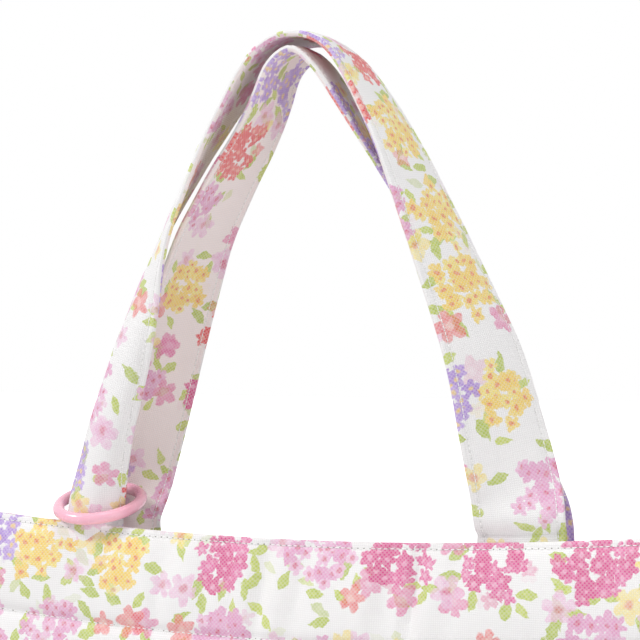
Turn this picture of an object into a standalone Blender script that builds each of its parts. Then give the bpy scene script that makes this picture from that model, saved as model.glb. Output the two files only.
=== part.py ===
"""A small cloth knitting bag that stands on its flat base: walls of outer cloth, wadding and
lining, two sewn strap handles that lean together at the top, and a plastic yarn guide ring
on the left leg of the front handle. Metres, +Z up, origin at the middle of the base."""

import math

import bmesh
import bpy
from mathutils import Vector

MM = 0.001

# Driving dimensions
RIM_WIDTH = 300 * MM  # across the mouth, outside
BASE_WIDTH = 276 * MM
BASE_DEPTH = 100 * MM
BAG_HEIGHT = 230 * MM  # floor to the lowest point of the rim
RIM_RISE = 9 * MM  # how much higher the rim stands at the side seams
MOUTH_DEPTH = 29 * MM  # across the mouth, front to back, outside
BASE_CORNER = 22 * MM  # corner radius of the plan at the floor
RIM_CORNER = 12 * MM  # corner radius of the plan at the rim
BELLY = 4 * MM  # how far the front and back swell out half way up
SIDE_DENT = 5 * MM  # how far the sides draw in half way up
TAPER_POWER = 1.3  # how late the bag narrows towards the mouth

CLOTH = 1.2 * MM  # outer cloth with its turned hem
WADDING = 2.0 * MM
LINING = 0.8 * MM
GAP = 0.3 * MM  # between two pieces that touch

POCKET_WIDTH = 130 * MM
POCKET_HEIGHT = 80 * MM
POCKET_BOTTOM = 92 * MM  # above the floor
POCKET_CLOTH = 0.8 * MM

STRAP_WIDTH = 29 * MM
STRAP_THICKNESS = 2.0 * MM
FOOT_SPREAD = 149 * MM  # left foot to right foot, middle to middle
HANDLE_HEIGHT = 162.5 * MM  # front handle, from its foot to the middle of its top
HANDLE_CLEARANCE = 3.0 * MM  # between the two handles at the top
TAIL_LENGTH = 22 * MM  # strap sewn in below the rim
TAIL_STAND = 0.6 * MM  # tail above the rim, at the outer edge of the strap
PIVOT_OUT = 1.3 * MM  # hinge line, out from the cloth

RING_RADIUS = 14.25 * MM  # to the middle of the ring's round bar
RING_BAR = 4.0 * MM
RING_TILT = math.radians(17)  # front of the ring down
RING_CLEARANCE = 1.75 * MM  # between the ring and the strap gathered inside it
RING_TRAVEL = 25 * MM  # how far the ring runs up the strap

# Worked out from the driving dimensions
WADDING_INSET = CLOTH + GAP
LINING_INSET = WADDING_INSET + max(WADDING, STRAP_THICKNESS) + GAP
POCKET_INSET = LINING_INSET + LINING + GAP
FOOT_X = FOOT_SPREAD / 2
STRAP_Y = MOUTH_DEPTH / 2 - WADDING_INSET - STRAP_THICKNESS / 2
PIVOT_Y = MOUTH_DEPTH / 2 + PIVOT_OUT
GATHER_RADIUS = RING_RADIUS - RING_BAR / 2 - RING_CLEARANCE - STRAP_THICKNESS / 2
GATHER_SHARE = (RING_TRAVEL + RING_RADIUS + RING_BAR) / HANDLE_HEIGHT  # strap kept round this far

# Middle line of each handle, right foot to left foot, in mm: x, y and the height above the foot.
# The front handle lies over the back one, which hangs inside it.
FRONT_ROUTE = [
    (73, -12, 0), (71.5, -12, 14), (67.5, -11.8, 33), (63.5, -11.2, 51), (58.2, -10.2, 67),
    (50.4, -8.4, 86), (43.4, -6.6, 102), (35, -4.6, 120), (26.3, -2.8, 136), (17.3, -1.2, 150),
    (8.6, -0.4, 159), (-1.0, 0, 162.5), (-10.5, -0.4, 160.5), (-19.7, -1.2, 152.5), (-28.7, -2.8, 139),
    (-37.9, -4.6, 122), (-47, -6.6, 103), (-54, -8.4, 84), (-59.1, -10.2, 67), (-63.3, -11.4, 52),
    (-69, -12, 33), (-73, -12, 15), (-74.9, -12, 0),
]
BACK_ROUTE = [
    (70.4, 12, 0), (68.8, 12.6, 14), (65.6, 13.2, 32), (60.5, 13.2, 49), (53.5, 12, 66),
    (44.8, 9.8, 82), (35.8, 7.6, 97), (27.8, 5.2, 112), (19.8, 3.2, 127), (12.2, 1.4, 141),
    (4.5, 0.4, 153), (-2.5, 0, 158.5), (-10, 0.4, 153.5), (-15.6, 1.4, 142), (-23.2, 3.2, 128),
    (-33.2, 5.2, 113), (-42, 7.6, 98), (-49.3, 11.2, 82), (-55.7, 14.2, 66), (-61.3, 15.4, 49),
    (-65.9, 14.6, 32), (-70.4, 12.6, 14), (-73.6, 12, 0),
]
ROUTE_FOOT_X = 73 * MM
ROUTE_FOOT_Y = 12 * MM
HANDLE_STATIONS = 38
ROUTE_STEPS = 12  # between two points of the route
SECTION_STEPS = 6
FLAT_CURL = math.radians(14)  # arch of a strap across its width, at its foot and its top
LEG_CURL = math.radians(46)  # the same half way up
GATHER_EASE = 0.35  # share of the height in which the gathered strap opens out
FRONT_TWIST = 0.64  # how late a strap turns from facing out to facing up
BACK_TWIST = 0.48
TWIST_START = 0.12  # share of the height in which the turn sets in

CORNER_SHARE = 0.25  # of each half of a wall's plan
ARC_STEPS = 2
FRONT_STEPS = 10
SIDE_STEPS = 4
WALL_ROWS = 7
RING_STEPS = 30
BAR_STEPS = 10

COLOURS = {
    "print_cloth": ((0.90, 0.86, 0.86), 0.85),
    "strap_cloth": ((0.90, 0.85, 0.86), 0.85),
    "wadding": ((0.86, 0.85, 0.82), 0.95),
    "lining_cloth": ((0.86, 0.70, 0.74), 0.9),
    "ring_plastic": ((0.93, 0.50, 0.62), 0.3),
}


def clear_scene():
    for obj in list(bpy.data.objects):
        bpy.data.objects.remove(obj, do_unlink=True)


def make_materials():
    made = {}
    for name, (colour, roughness) in COLOURS.items():
        material = bpy.data.materials.new(name)
        material.use_nodes = True
        shader = material.node_tree.nodes["Principled BSDF"]
        shader.inputs["Base Color"].default_value = (*colour, 1)
        shader.inputs["Roughness"].default_value = roughness
        shader.inputs["Metallic"].default_value = 0
        made[name] = material
    return made


def rim_height(x):
    """Height of the rim above the floor: it sags between the side seams."""
    return BAG_HEIGHT + RIM_RISE * (x / (RIM_WIDTH / 2)) ** 2


FOOT_Z = rim_height(FOOT_X + STRAP_WIDTH / 2) + TAIL_STAND


def half_width(share):
    return (BASE_WIDTH + (RIM_WIDTH - BASE_WIDTH) * share) / 2


def half_depth(share):
    return (BASE_DEPTH - (BASE_DEPTH - MOUTH_DEPTH) * share**TAPER_POWER) / 2


def corner_radius(share):
    return BASE_CORNER + (RIM_CORNER - BASE_CORNER) * share


def bow(place, run, share, size):
    """How far a wall stands out between its corners, most in the middle and half way up."""
    across = 1 - (place / run) ** 2
    return size * max(across, 0) * math.sin(math.pi * share)


def swell(x, share):
    """How far the front or back cloth stands out at this place."""
    return bow(x, half_width(share) - corner_radius(share), share, BELLY)


def plan_point(side, along, share, inset):
    """A point of the bag's plan at a share of its height. side is front, right, back or left,
    and along runs from -1 to 1, anticlockwise: half a corner, the straight run, half a corner."""
    turned = side in ("right", "left")
    a = half_width(share) - inset
    b = half_depth(share) - inset
    r = corner_radius(share) - inset
    run = (b if turned else a) - r
    out = a if turned else b
    arc = math.pi / 4
    seam = GAP / 2 / r
    size = abs(along)
    straight = 1 - CORNER_SHARE
    if size <= straight:
        u = run * size / straight
        v = out
    else:
        angle = (arc - seam) * (size - straight) / CORNER_SHARE
        u = run + r * math.sin(angle)
        v = out - r * (1 - math.cos(angle))
    u = math.copysign(u, along)
    if turned:
        v -= bow(u, run, share, SIDE_DENT)
        x, y = v, u
    else:
        v += swell(u, share)
        x, y = u, -v
    if side in ("back", "left"):
        x, y = -x, -y
    return x, y


def along_values(straight_steps):
    """Places along a panel, with its corners and its straight run divided alike everywhere."""
    edge = 1 - CORNER_SHARE
    corner = [edge + CORNER_SHARE * (i + 1) / ARC_STEPS for i in range(ARC_STEPS)]
    straight = [edge * (2 * i / straight_steps - 1) for i in range(straight_steps + 1)]
    return [-c for c in reversed(corner)] + straight + corner


def wall_steps(side):
    return SIDE_STEPS if side in ("left", "right") else FRONT_STEPS


def grid_solid(outer, inner):
    """A closed sheet from two grids of points with the same rows and columns."""
    mesh = bmesh.new()
    rows, columns = len(outer), len(outer[0])
    a = [[mesh.verts.new(p) for p in row] for row in outer]
    b = [[mesh.verts.new(p) for p in row] for row in inner]
    for i in range(rows - 1):
        for j in range(columns - 1):
            mesh.faces.new((a[i][j], a[i][j + 1], a[i + 1][j + 1], a[i + 1][j]))
            mesh.faces.new((b[i][j], b[i + 1][j], b[i + 1][j + 1], b[i][j + 1]))
    for j in range(columns - 1):
        mesh.faces.new((a[0][j + 1], a[0][j], b[0][j], b[0][j + 1]))
        mesh.faces.new((a[-1][j], a[-1][j + 1], b[-1][j + 1], b[-1][j]))
    for i in range(rows - 1):
        mesh.faces.new((a[i][0], a[i + 1][0], b[i + 1][0], b[i][0]))
        mesh.faces.new((a[i + 1][-1], a[i][-1], b[i][-1], b[i + 1][-1]))
    bmesh.ops.recalc_face_normals(mesh, faces=mesh.faces)
    return mesh


def add_object(name, mesh, material, origin=Vector((0, 0, 0)), smooth=True):
    """Makes the object with its origin at the given point, which the mesh is measured from."""
    bmesh.ops.translate(mesh, verts=mesh.verts, vec=-Vector(origin))
    data = bpy.data.meshes.new(name)
    mesh.to_mesh(data)
    mesh.free()
    data.materials.append(material)
    if smooth:
        data.shade_smooth()
        data.set_sharp_from_angle(angle=math.radians(40))
    obj = bpy.data.objects.new(name, data)
    obj.location = origin
    bpy.context.scene.collection.objects.link(obj)
    return obj


def wall(side, inset, thickness, bottom, top_drop):
    """One cloth wall of the bag, from a height above the floor to just under the rim. All
    layers have their middle rows at the same shares of the height, so they lie alike."""
    places = along_values(wall_steps(side))
    middle = [i / WALL_ROWS for i in range(1, WALL_ROWS)]
    shares = [bottom / BAG_HEIGHT, *middle, 1 - top_drop / BAG_HEIGHT]
    grids = []
    for depth in (inset, inset + thickness):
        grid = []
        for share in shares:
            row = []
            for along in places:
                x, y = plan_point(side, along, share, depth)
                row.append(Vector((x, y, share * rim_height(x))))
            grid.append(row)
        grids.append(grid)
    return grid_solid(*grids)


def floor_sheet(inset, bottom, thickness):
    """A flat layer of the base, cut to the bag's plan."""
    mesh = bmesh.new()
    ring = []
    for side in ("front", "right", "back", "left"):
        for along in along_values(wall_steps(side)):
            x, y = plan_point(side, along, bottom / BAG_HEIGHT, inset)
            ring.append(mesh.verts.new((x, y, bottom)))
    base = mesh.faces.new(ring)
    made = bmesh.ops.extrude_face_region(mesh, geom=[base])
    lifted = [v for v in made["geom"] if isinstance(v, bmesh.types.BMVert)]
    bmesh.ops.translate(mesh, verts=lifted, vec=(0, 0, thickness))
    bmesh.ops.recalc_face_normals(mesh, faces=mesh.faces)
    return mesh


def patch(facing, x_low, x_high, heights, inset, thickness, columns=4):
    """A flat strip of cloth that follows the front (-1) or back (1) wall at an inset. heights
    gives the heights of its rows at each x."""
    grids = []
    for depth in (inset, inset + thickness):
        columns_of_points = []
        for j in range(columns + 1):
            x = x_low + (x_high - x_low) * j / columns
            column = []
            for z in heights(x):
                share = min(z / rim_height(x), 1)
                y = facing * (half_depth(share) - depth + swell(x, share))
                column.append(Vector((x, y, z)))
            columns_of_points.append(column)
        grids.append([list(row) for row in zip(*columns_of_points)])
    return grid_solid(*grids)


def even_heights(low, high, rows):
    return [low + (high - low) * i / rows for i in range(rows + 1)]


def tail_heights(x):
    """Rows of a sewn-in strap end: up to the rim, and then straight up to the handle's foot."""
    return even_heights(BAG_HEIGHT - TAIL_LENGTH, rim_height(x), 3) + [FOOT_Z - GAP]


def pocket_heights(x):
    return even_heights(POCKET_BOTTOM, POCKET_BOTTOM + POCKET_HEIGHT, 4)


def cut(target, low, high):
    """Takes a box out of the object with a Boolean."""
    size = [h - l for l, h in zip(low, high)]
    middle = [(h + l) / 2 for l, h in zip(low, high)]
    mesh = bmesh.new()
    bmesh.ops.create_cube(mesh, size=1)
    bmesh.ops.scale(mesh, verts=mesh.verts, vec=size)
    bmesh.ops.translate(mesh, verts=mesh.verts, vec=middle)
    data = bpy.data.meshes.new("cutter")
    mesh.to_mesh(data)
    mesh.free()
    cutter = bpy.data.objects.new("cutter", data)
    cutter.hide_render = True
    cutter.display_type = "WIRE"
    bpy.context.scene.collection.objects.link(cutter)
    modifier = target.modifiers.new("notch", "BOOLEAN")
    modifier.operation = "DIFFERENCE"
    modifier.object = cutter


def make_walls(materials):
    print_cloth = materials["print_cloth"]
    for side in ("front", "back", "left", "right"):
        kind = "panel" if side in ("front", "back") else "side_panel"
        mesh = wall(side, 0, CLOTH, CLOTH + GAP, 0)
        add_object(f"{side}_{kind}", mesh, print_cloth)
        mesh = wall(side, WADDING_INSET, WADDING, LINING_INSET, CLOTH)
        padding = add_object(f"{side}_wadding", mesh, materials["wadding"])
        if side in ("front", "back"):
            cut_tail_notches(padding, -1 if side == "front" else 1)
        mesh = wall(side, LINING_INSET, LINING, POCKET_INSET, GAP)
        add_object(f"{side}_lining", mesh, materials["lining_cloth"])
    add_object("base_panel", floor_sheet(0, 0, CLOTH), print_cloth, smooth=False)
    mesh = floor_sheet(WADDING_INSET, WADDING_INSET, WADDING)
    add_object("base_wadding", mesh, materials["wadding"], smooth=False)
    mesh = floor_sheet(LINING_INSET, LINING_INSET, LINING)
    add_object("base_lining", mesh, materials["lining_cloth"], smooth=False)


def handle_feet(facing):
    """Where a handle's left and right foot stand along the rim."""
    points = route_points(FRONT_ROUTE if facing < 0 else BACK_ROUTE, facing)
    return points[-1].x, points[0].x


def cut_tail_notches(padding, facing):
    """Leaves room in the wadding for the sewn-in ends of the handle."""
    reach = STRAP_WIDTH / 2 + GAP
    for foot in handle_feet(facing):
        low = (foot - reach, min(0, facing * BASE_DEPTH), BAG_HEIGHT - TAIL_LENGTH - GAP)
        high = (foot + reach, max(0, facing * BASE_DEPTH), BAG_HEIGHT + 2 * RIM_RISE)
        cut(padding, low, high)


def make_tails(materials):
    """The ends of each strap that are sewn in between the outer cloth and the lining."""
    for word, facing in (("front", -1), ("back", 1)):
        for hand, foot in zip(("left", "right"), handle_feet(facing)):
            mesh = patch(
                facing,
                foot - STRAP_WIDTH / 2,
                foot + STRAP_WIDTH / 2,
                tail_heights,
                WADDING_INSET,
                STRAP_THICKNESS,
            )
            add_object(f"{word}_handle_{hand}_tail", mesh, materials["strap_cloth"])


def curve_point(a, b, c, d, t):
    """A point between b and c on the smooth curve through the four points."""
    linear = (c - a) * t
    square = (2 * a - 5 * b + 4 * c - d) * t**2
    cube = (3 * b - a - 3 * c + d) * t**3
    return b + (linear + square + cube) / 2


def smooth_route(points, count):
    """Evenly spaced points on a smooth curve through the route's own points."""
    fine = []
    padded = [2 * points[0] - points[1], *points, 2 * points[-1] - points[-2]]
    for a, b, c, d in zip(padded, padded[1:], padded[2:], padded[3:]):
        for i in range(ROUTE_STEPS):
            fine.append(curve_point(a, b, c, d, i / ROUTE_STEPS))
    fine.append(points[-1])
    travelled = [0.0]
    for a, b in zip(fine, fine[1:]):
        travelled.append(travelled[-1] + (b - a).length)
    spaced = []
    at = 0
    for i in range(count):
        goal = travelled[-1] * i / (count - 1)
        while at < len(fine) - 2 and travelled[at + 1] < goal:
            at += 1
        span = travelled[at + 1] - travelled[at]
        spaced.append(fine[at].lerp(fine[at + 1], (goal - travelled[at]) / span))
    return spaced


def route_points(route, facing):
    """The route in metres above the floor, moved so that its feet stand on the sewn-in tails
    and its top is at the handle's height."""
    shift_x = FOOT_X - ROUTE_FOOT_X
    shift_y = STRAP_Y - ROUTE_FOOT_Y
    height = HANDLE_HEIGHT
    if facing > 0:
        height -= STRAP_THICKNESS + HANDLE_CLEARANCE
    top = max(z for _, _, z in route)
    points = []
    for x, y, z in route:
        low = 1 - z / top
        side = math.copysign(1, x)
        px = x * MM + side * shift_x * low
        py = y * MM + facing * shift_y * low
        points.append(Vector((px, py, FOOT_Z + height * z / top)))
    return points


def strap_frame(before, after, height_share, facing):
    """Tangent, outward normal and width direction of a strap that faces out at its foot and up
    at its top."""
    tangent = (after - before).normalized()
    out = Vector((0, facing, 0))
    up = tangent.cross(Vector((0, 1, 0)))
    if up.z < 0:
        up.negate()
    up.normalize()
    late = FRONT_TWIST if facing < 0 else BACK_TWIST
    start = min(height_share / TWIST_START, 1)
    turn = math.pi / 2 * height_share**late * start * start * (3 - 2 * start)
    normal = math.cos(turn) * out + math.sin(turn) * up
    normal = (normal - tangent * normal.dot(tangent)).normalized()
    return tangent, normal, tangent.cross(normal)


def strap_curl(x, height_share, ring_leg):
    """Angle that the strap's section bends through."""
    if ring_leg and x < 0:
        gathered = STRAP_WIDTH / GATHER_RADIUS
        ease = min(max((height_share - GATHER_SHARE) / GATHER_EASE, 0), 1)
        ease = ease * ease * (3 - 2 * ease)
        return gathered + (FLAT_CURL - gathered) * ease
    return FLAT_CURL + (LEG_CURL - FLAT_CURL) * math.sin(math.pi * min(height_share, 1)) ** 2


def strap_section(centre, normal, across, curl):
    """Outer and inner points of a strap across its width. The section's middle stays on the
    route however much it curls."""
    radius = STRAP_WIDTH / curl
    sag = radius * math.sin(curl / 2) / (curl / 2)
    outer, inner = [], []
    for i in range(SECTION_STEPS + 1):
        angle = curl * (i / SECTION_STEPS - 0.5)
        ray = math.cos(angle) * normal + math.sin(angle) * across
        middle = centre - sag * normal
        outer.append(middle + (radius + STRAP_THICKNESS / 2) * ray)
        inner.append(middle + (radius - STRAP_THICKNESS / 2) * ray)
    return outer, inner


def frame_at(points, i, facing):
    """Share of the height, tangent, normal and width direction at one point of a handle."""
    before, after = points[max(i - 1, 0)], points[min(i + 1, len(points) - 1)]
    top = max(p.z for p in points)
    share = min(max((points[i].z - FOOT_Z) / (top - FOOT_Z), 0), 1)
    return share, *strap_frame(before, after, share, facing)


def handle_solid(route, facing, ring_leg):
    points = smooth_route(route_points(route, facing), HANDLE_STATIONS)
    outer, inner = [], []
    for i, point in enumerate(points):
        share, tangent, normal, across = frame_at(points, i, facing)
        rows = strap_section(point, normal, across, strap_curl(point.x, share, ring_leg))
        if i in (0, len(points) - 1):
            rows = [[p + tangent * ((FOOT_Z - p.z) / tangent.z) for p in row] for row in rows]
        outer.append(rows[0])
        inner.append(rows[1])
    return grid_solid(outer, inner)


def make_pivot(name, y):
    """An empty on the line that a handle swings about."""
    pivot = bpy.data.objects.new(name, None)
    pivot.location = (0, y, FOOT_Z)
    bpy.context.scene.collection.objects.link(pivot)
    return pivot


def make_handles(materials):
    made = []
    for name, route, facing in (("front_handle", FRONT_ROUTE, -1), ("back_handle", BACK_ROUTE, 1)):
        origin = Vector((0, facing * PIVOT_Y, FOOT_Z))
        pivot = make_pivot(f"{name}_pivot", origin.y)
        mesh = handle_solid(route, facing, ring_leg=facing < 0)
        handle = add_object(name, mesh, materials["strap_cloth"], origin)
        handle.parent = pivot
        handle.location = (0, 0, 0)
        made.append(pivot)
    return made


def ring_centre(travel=0):
    """Middle of the gathered strap's curl, where the tilted ring lies on the rim or has run
    some way up the strap."""
    points = smooth_route(route_points(FRONT_ROUTE, -1), HANDLE_STATIONS * ROUTE_STEPS)
    curl = STRAP_WIDTH / GATHER_RADIUS
    back = GATHER_RADIUS * math.sin(curl / 2) / (curl / 2)
    reach = MOUTH_DEPTH / 2 - STRAP_Y + back  # from the cloth's face to the ring's middle
    z = FOOT_Z + RING_BAR / 2 / math.cos(RING_TILT) + reach * math.tan(RING_TILT) + travel
    i = len(points) - 1
    while points[i].z < z:
        i -= 1
    _, _, normal, _ = frame_at(points, i, -1)
    return points[i] - back * normal


def ring_ray(turn):
    """Direction from the ring's middle to its bar, on the tilted plane."""
    ahead = math.sin(turn)
    return Vector((math.cos(turn), ahead * math.cos(RING_TILT), ahead * math.sin(RING_TILT)))


def make_ring(materials, handle_pivot):
    mesh = bmesh.new()
    centre = ring_centre()
    axis = Vector((0, -math.sin(RING_TILT), math.cos(RING_TILT)))
    loops = []
    for i in range(RING_STEPS):
        ray = ring_ray(2 * math.pi * i / RING_STEPS)
        loop = []
        for j in range(BAR_STEPS):
            roll = 2 * math.pi * j / BAR_STEPS
            offset = (math.cos(roll) * ray + math.sin(roll) * axis) * RING_BAR / 2
            loop.append(mesh.verts.new(centre + ray * RING_RADIUS + offset))
        loops.append(loop)
    for i in range(RING_STEPS):
        a, b = loops[i], loops[(i + 1) % RING_STEPS]
        for j in range(BAR_STEPS):
            k = (j + 1) % BAR_STEPS
            mesh.faces.new((a[j], b[j], b[k], a[k]))
    bmesh.ops.recalc_face_normals(mesh, faces=mesh.faces)
    ring = add_object("yarn_guide_ring", mesh, materials["ring_plastic"], centre)
    ring.parent = handle_pivot
    ring.location = centre - handle_pivot.location


def make_pocket(materials):
    mesh = patch(
        1,
        -POCKET_WIDTH / 2,
        POCKET_WIDTH / 2,
        pocket_heights,
        POCKET_INSET,
        POCKET_CLOTH,
        columns=6,
    )
    add_object("inner_pocket", mesh, materials["lining_cloth"])


def main():
    clear_scene()
    materials = make_materials()
    make_walls(materials)
    make_tails(materials)
    make_pocket(materials)
    front_pivot, _ = make_handles(materials)
    make_ring(materials, front_pivot)


main()
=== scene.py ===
import math

import bmesh
import bpy
from mathutils import Matrix, Vector, noise


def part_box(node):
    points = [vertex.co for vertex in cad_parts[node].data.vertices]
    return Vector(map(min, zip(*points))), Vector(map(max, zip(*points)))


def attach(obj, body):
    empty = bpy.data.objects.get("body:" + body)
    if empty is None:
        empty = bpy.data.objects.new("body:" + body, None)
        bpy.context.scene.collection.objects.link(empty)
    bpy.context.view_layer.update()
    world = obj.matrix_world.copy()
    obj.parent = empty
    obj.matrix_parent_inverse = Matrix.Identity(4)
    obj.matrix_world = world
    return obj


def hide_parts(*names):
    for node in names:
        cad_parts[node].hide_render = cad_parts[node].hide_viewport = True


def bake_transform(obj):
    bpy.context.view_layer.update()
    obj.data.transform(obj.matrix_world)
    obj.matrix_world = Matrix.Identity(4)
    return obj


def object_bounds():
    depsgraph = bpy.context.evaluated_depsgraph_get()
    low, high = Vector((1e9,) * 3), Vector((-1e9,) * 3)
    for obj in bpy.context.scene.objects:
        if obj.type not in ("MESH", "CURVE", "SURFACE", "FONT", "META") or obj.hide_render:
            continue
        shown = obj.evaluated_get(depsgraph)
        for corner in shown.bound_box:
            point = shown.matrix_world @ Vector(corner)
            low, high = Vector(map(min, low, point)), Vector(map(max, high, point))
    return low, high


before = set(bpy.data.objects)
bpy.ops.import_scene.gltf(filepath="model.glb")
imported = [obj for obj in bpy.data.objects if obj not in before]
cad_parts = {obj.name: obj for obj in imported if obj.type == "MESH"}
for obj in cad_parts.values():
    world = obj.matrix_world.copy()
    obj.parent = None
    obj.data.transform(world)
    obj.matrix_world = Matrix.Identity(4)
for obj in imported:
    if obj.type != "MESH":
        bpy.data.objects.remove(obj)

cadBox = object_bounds()
mm = 0.001
scene = bpy.context.scene

# sizes of the print are millimetres of flat cloth, and all colours are linear
printCloth = {
    "ground": (0.935, 0.925, 0.925),
    # painted light: the warmer ground of the straps' inner faces, for light bounced off the print
    "paintedBounceTint": (0.975, 0.87, 0.85),
    # painted shade: the colour of the gaps between the threads of the weave
    "gap": (0.66, 0.63, 0.64),
    "bunchPitch": 31.0,  # between the middles of two bunches
    "bunchRadius": 11.5,
    "flowerPitch": 5.7,
    "flowerRadius": 3.1,
    "bloomPitch": 15.0,
    "bloomRadius": 5.4,
    "leafPitch": 8.5,
    "threadPitch": 0.68,
    # each layer has its own offset, and a flower layer its petals and how full it is too
    "leafLayers": [17.0, 83.0],
    "bloomLayers": [41.0, 149.0],
    "flowerLayers": [(5.0, 5.0, 0.9), (59.0, 4.0, 0.72), (71.0, 5.0, 0.8)],
    # each kind of flower: where it starts, its petals, their light wash and its eye
    "flowers": [
        (0.00, (0.94, 0.66, 0.10), (0.95, 0.80, 0.22), (0.82, 0.18, 0.05)),
        (0.26, (0.80, 0.045, 0.05), (0.86, 0.14, 0.13), (0.92, 0.46, 0.38)),
        (0.40, (0.73, 0.06, 0.27), (0.82, 0.17, 0.42), (0.88, 0.42, 0.60)),
        (0.54, (0.80, 0.36, 0.60), (0.90, 0.58, 0.77), (0.70, 0.10, 0.22)),
        (0.74, (0.42, 0.24, 0.70), (0.57, 0.39, 0.82), (0.92, 0.66, 0.16)),
    ],
    "leaf": (0.60, 0.69, 0.085),
    "leafDark": (0.45, 0.56, 0.05),
}

bag = {
    "rimWidth": cadBox[1][0] - cadBox[0][0],
    "baseWidth": 276 * mm,
    "baseDepth": 100 * mm,
    "height": 230 * mm,
    "rimRise": 9 * mm,  # how much higher the rim is at the sides
    "backDrop": 4.6 * mm,  # how much lower the back rim hangs
    "mouthDepth": 29 * mm,
    "baseCorner": 22 * mm,
    "rimCorner": 12 * mm,
    "cornerShare": 0.25,  # share of a wall's places that lie on its two corners
    "belly": 4 * mm,
    "sideDent": 5 * mm,
    "taper": 1.3,
    "thickness": 1.3 * mm,
    "bottom": 1.4 * mm,  # of the walls, above the floor
    "edgeRow": 2.0 * mm,
    "hemDepth": 32 * mm,
    "hemMargin": 4 * mm,  # the rows of the mesh follow the rim down to this far under the hem
}

padding = {
    "hemPuff": 1.9 * mm,
    "hemWave": 1.0 * mm,
    "hemRipple": 0.4 * mm,
    "crease": 1.5 * mm,
    # upright folds of the front hem: place from the middle, width and depth, in mm
    "folds": [
        (-44, 3.4, 1.6), (-9, 2.8, 2.9), (4, 3.6, 2.2),
        (33.5, 4.2, 1.9), (42, 2.7, 3.0), (55, 4.0, 1.5),
    ],
    "underHem": 1.6 * mm,
    "underWave": 1.0 * mm,
    "rowPinch": 1.0 * mm,
    "edgePinch": 0.45 * mm,
    "pucker": 0.5 * mm,
    "finePucker": 0.25 * mm,
    "bodySag": 3.4 * mm,
    "bodyRipple": 1.3 * mm,
    "bottomPuff": 2.2 * mm,
    "seamPinch": 0.9 * mm,
}

lining = {
    "colour": (0.93, 0.78, 0.82),
    "threadPitch": 0.55,
    "thickness": 0.8 * mm,
    "inset": 3.9 * mm,
    "bottom": 5.2 * mm,
    "pitch": 3 * mm,  # between the points of the mesh round the bag
    "ripple": 0.8 * mm,
    "fineRipple": 0.25 * mm,
}

# layers of the base: the padded outer cloth, and the lining on it
baseSizes = {"inset": 0.2 * mm, "bottom": 0.0, "thickness": 3.4 * mm, "rounding": 2.2 * mm, "sag": 0}
floorSizes = {
    "inset": 4.6 * mm,
    "bottom": 3.9 * mm,
    "thickness": 0.9 * mm,
    "rounding": 0.4 * mm,
    "sag": 0.8 * mm,
}

pocket = {
    "width": 130 * mm,
    "low": 92 * mm,
    "high": 172 * mm,
    "thickness": 0.8 * mm,
    "gap": 1.9 * mm,
    "slack": 2.6 * mm,
    "hem": 11 * mm,
    "hemStep": 0.35 * mm,
}

strap = {
    "width": 29 * mm,
    "thickness": 2.1 * mm,
    "height": 162.5 * mm,
    "nest": 5.0 * mm,  # how much lower the back strap's top is
    "footSpread": 149 * mm,
    "footGap": 0.6 * mm,
    "tail": 20 * mm,
    "tailLean": 1.2 * mm,
    "stitchInset": 2.6 * mm,
    "press": 0.38,  # share that the stitch rows press the cloth down
    "puff": 0.12,  # share that the middle is thicker
    "pucker": 0.10 * mm,
    "wave": 0.4 * mm,
    "bulge": 1.5 * mm,
    "tuck": 1.3 * mm,
    "flatCurl": math.radians(14),
    "legCurl": math.radians(46),
    "gatherRadius": 9.5 * mm,  # of the leg that is gathered in the ring
    "gatherReach": (25 + 18.25) * mm,  # the ring's travel and half its width
    "twist": 0.64,
    "backTwist": 0.48,
    "bendBelow": 0.5 * mm,
    "bendAbove": 11 * mm,
    "stations": 200,
}
routeFoot = 73  # half the spread of the feet that the routes were drawn for
# middle line of each strap, right foot to left foot: x, y and the height above the foot, in mm
frontRoute = [
    (73, -12, 0), (71.5, -12, 14), (67.5, -11.8, 33), (63.5, -11.2, 51), (58.2, -10.2, 67),
    (50.4, -8.4, 86), (43.4, -6.6, 102), (35, -4.6, 120), (26.3, -2.8, 136), (17.3, -1.2, 150),
    (8.6, -0.4, 159), (-1.0, 0, 162.5), (-10.5, -0.4, 160.5), (-19.7, -1.2, 152.5), (-28.7, -2.8, 139),
    (-37.9, -4.6, 122), (-47, -6.6, 103), (-54, -8.4, 84), (-59.1, -10.2, 67), (-63.3, -11.4, 52),
    (-69, -12, 33), (-73, -12, 15), (-74.9, -12, 0),
]
backRoute = [
    (70.4, 12, 0), (68.8, 12.6, 14), (65.6, 13.2, 32), (60.5, 13.2, 49), (53.5, 12, 66),
    (44.8, 9.8, 82), (35.8, 7.6, 97), (27.8, 5.2, 112), (19.8, 3.2, 127), (12.2, 1.4, 141),
    (4.5, 0.4, 153), (-2.5, 0, 158.5), (-10, 0.4, 153.5), (-15.6, 1.4, 142), (-23.2, 3.2, 128),
    (-33.2, 5.2, 113), (-42, 7.6, 98), (-49.3, 11.2, 82), (-55.7, 14.2, 66), (-61.3, 15.4, 49),
    (-65.9, 14.6, 32), (-70.4, 12.6, 14), (-73.6, 12, 0),
]

stitch = {
    "pitch": 2.05 * mm,
    "length": 1.35 * mm,
    "thread": 0.36 * mm,
    "holeShadow": 0.27 * mm,
    "colour": (0.95, 0.945, 0.94),
    "fibreColour": (0.88, 0.87, 0.86),
    # painted shadow: the dark colour of the needle holes
    "holeShadowColour": (0.40, 0.40, 0.37),
    # the painted shadows of the needle holes show far less on the straps than along the rim
    "rimHoleShadow": 1.0,
    "strapHoleShadow": 0.35,
}

ring = {
    "radius": 14.25 * mm,
    "bar": 4.0 * mm,
    "tilt": math.radians(17),
    "colour": (0.94, 0.47, 0.59),
    "cloudColour": (0.96, 0.54, 0.65),
}

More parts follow.
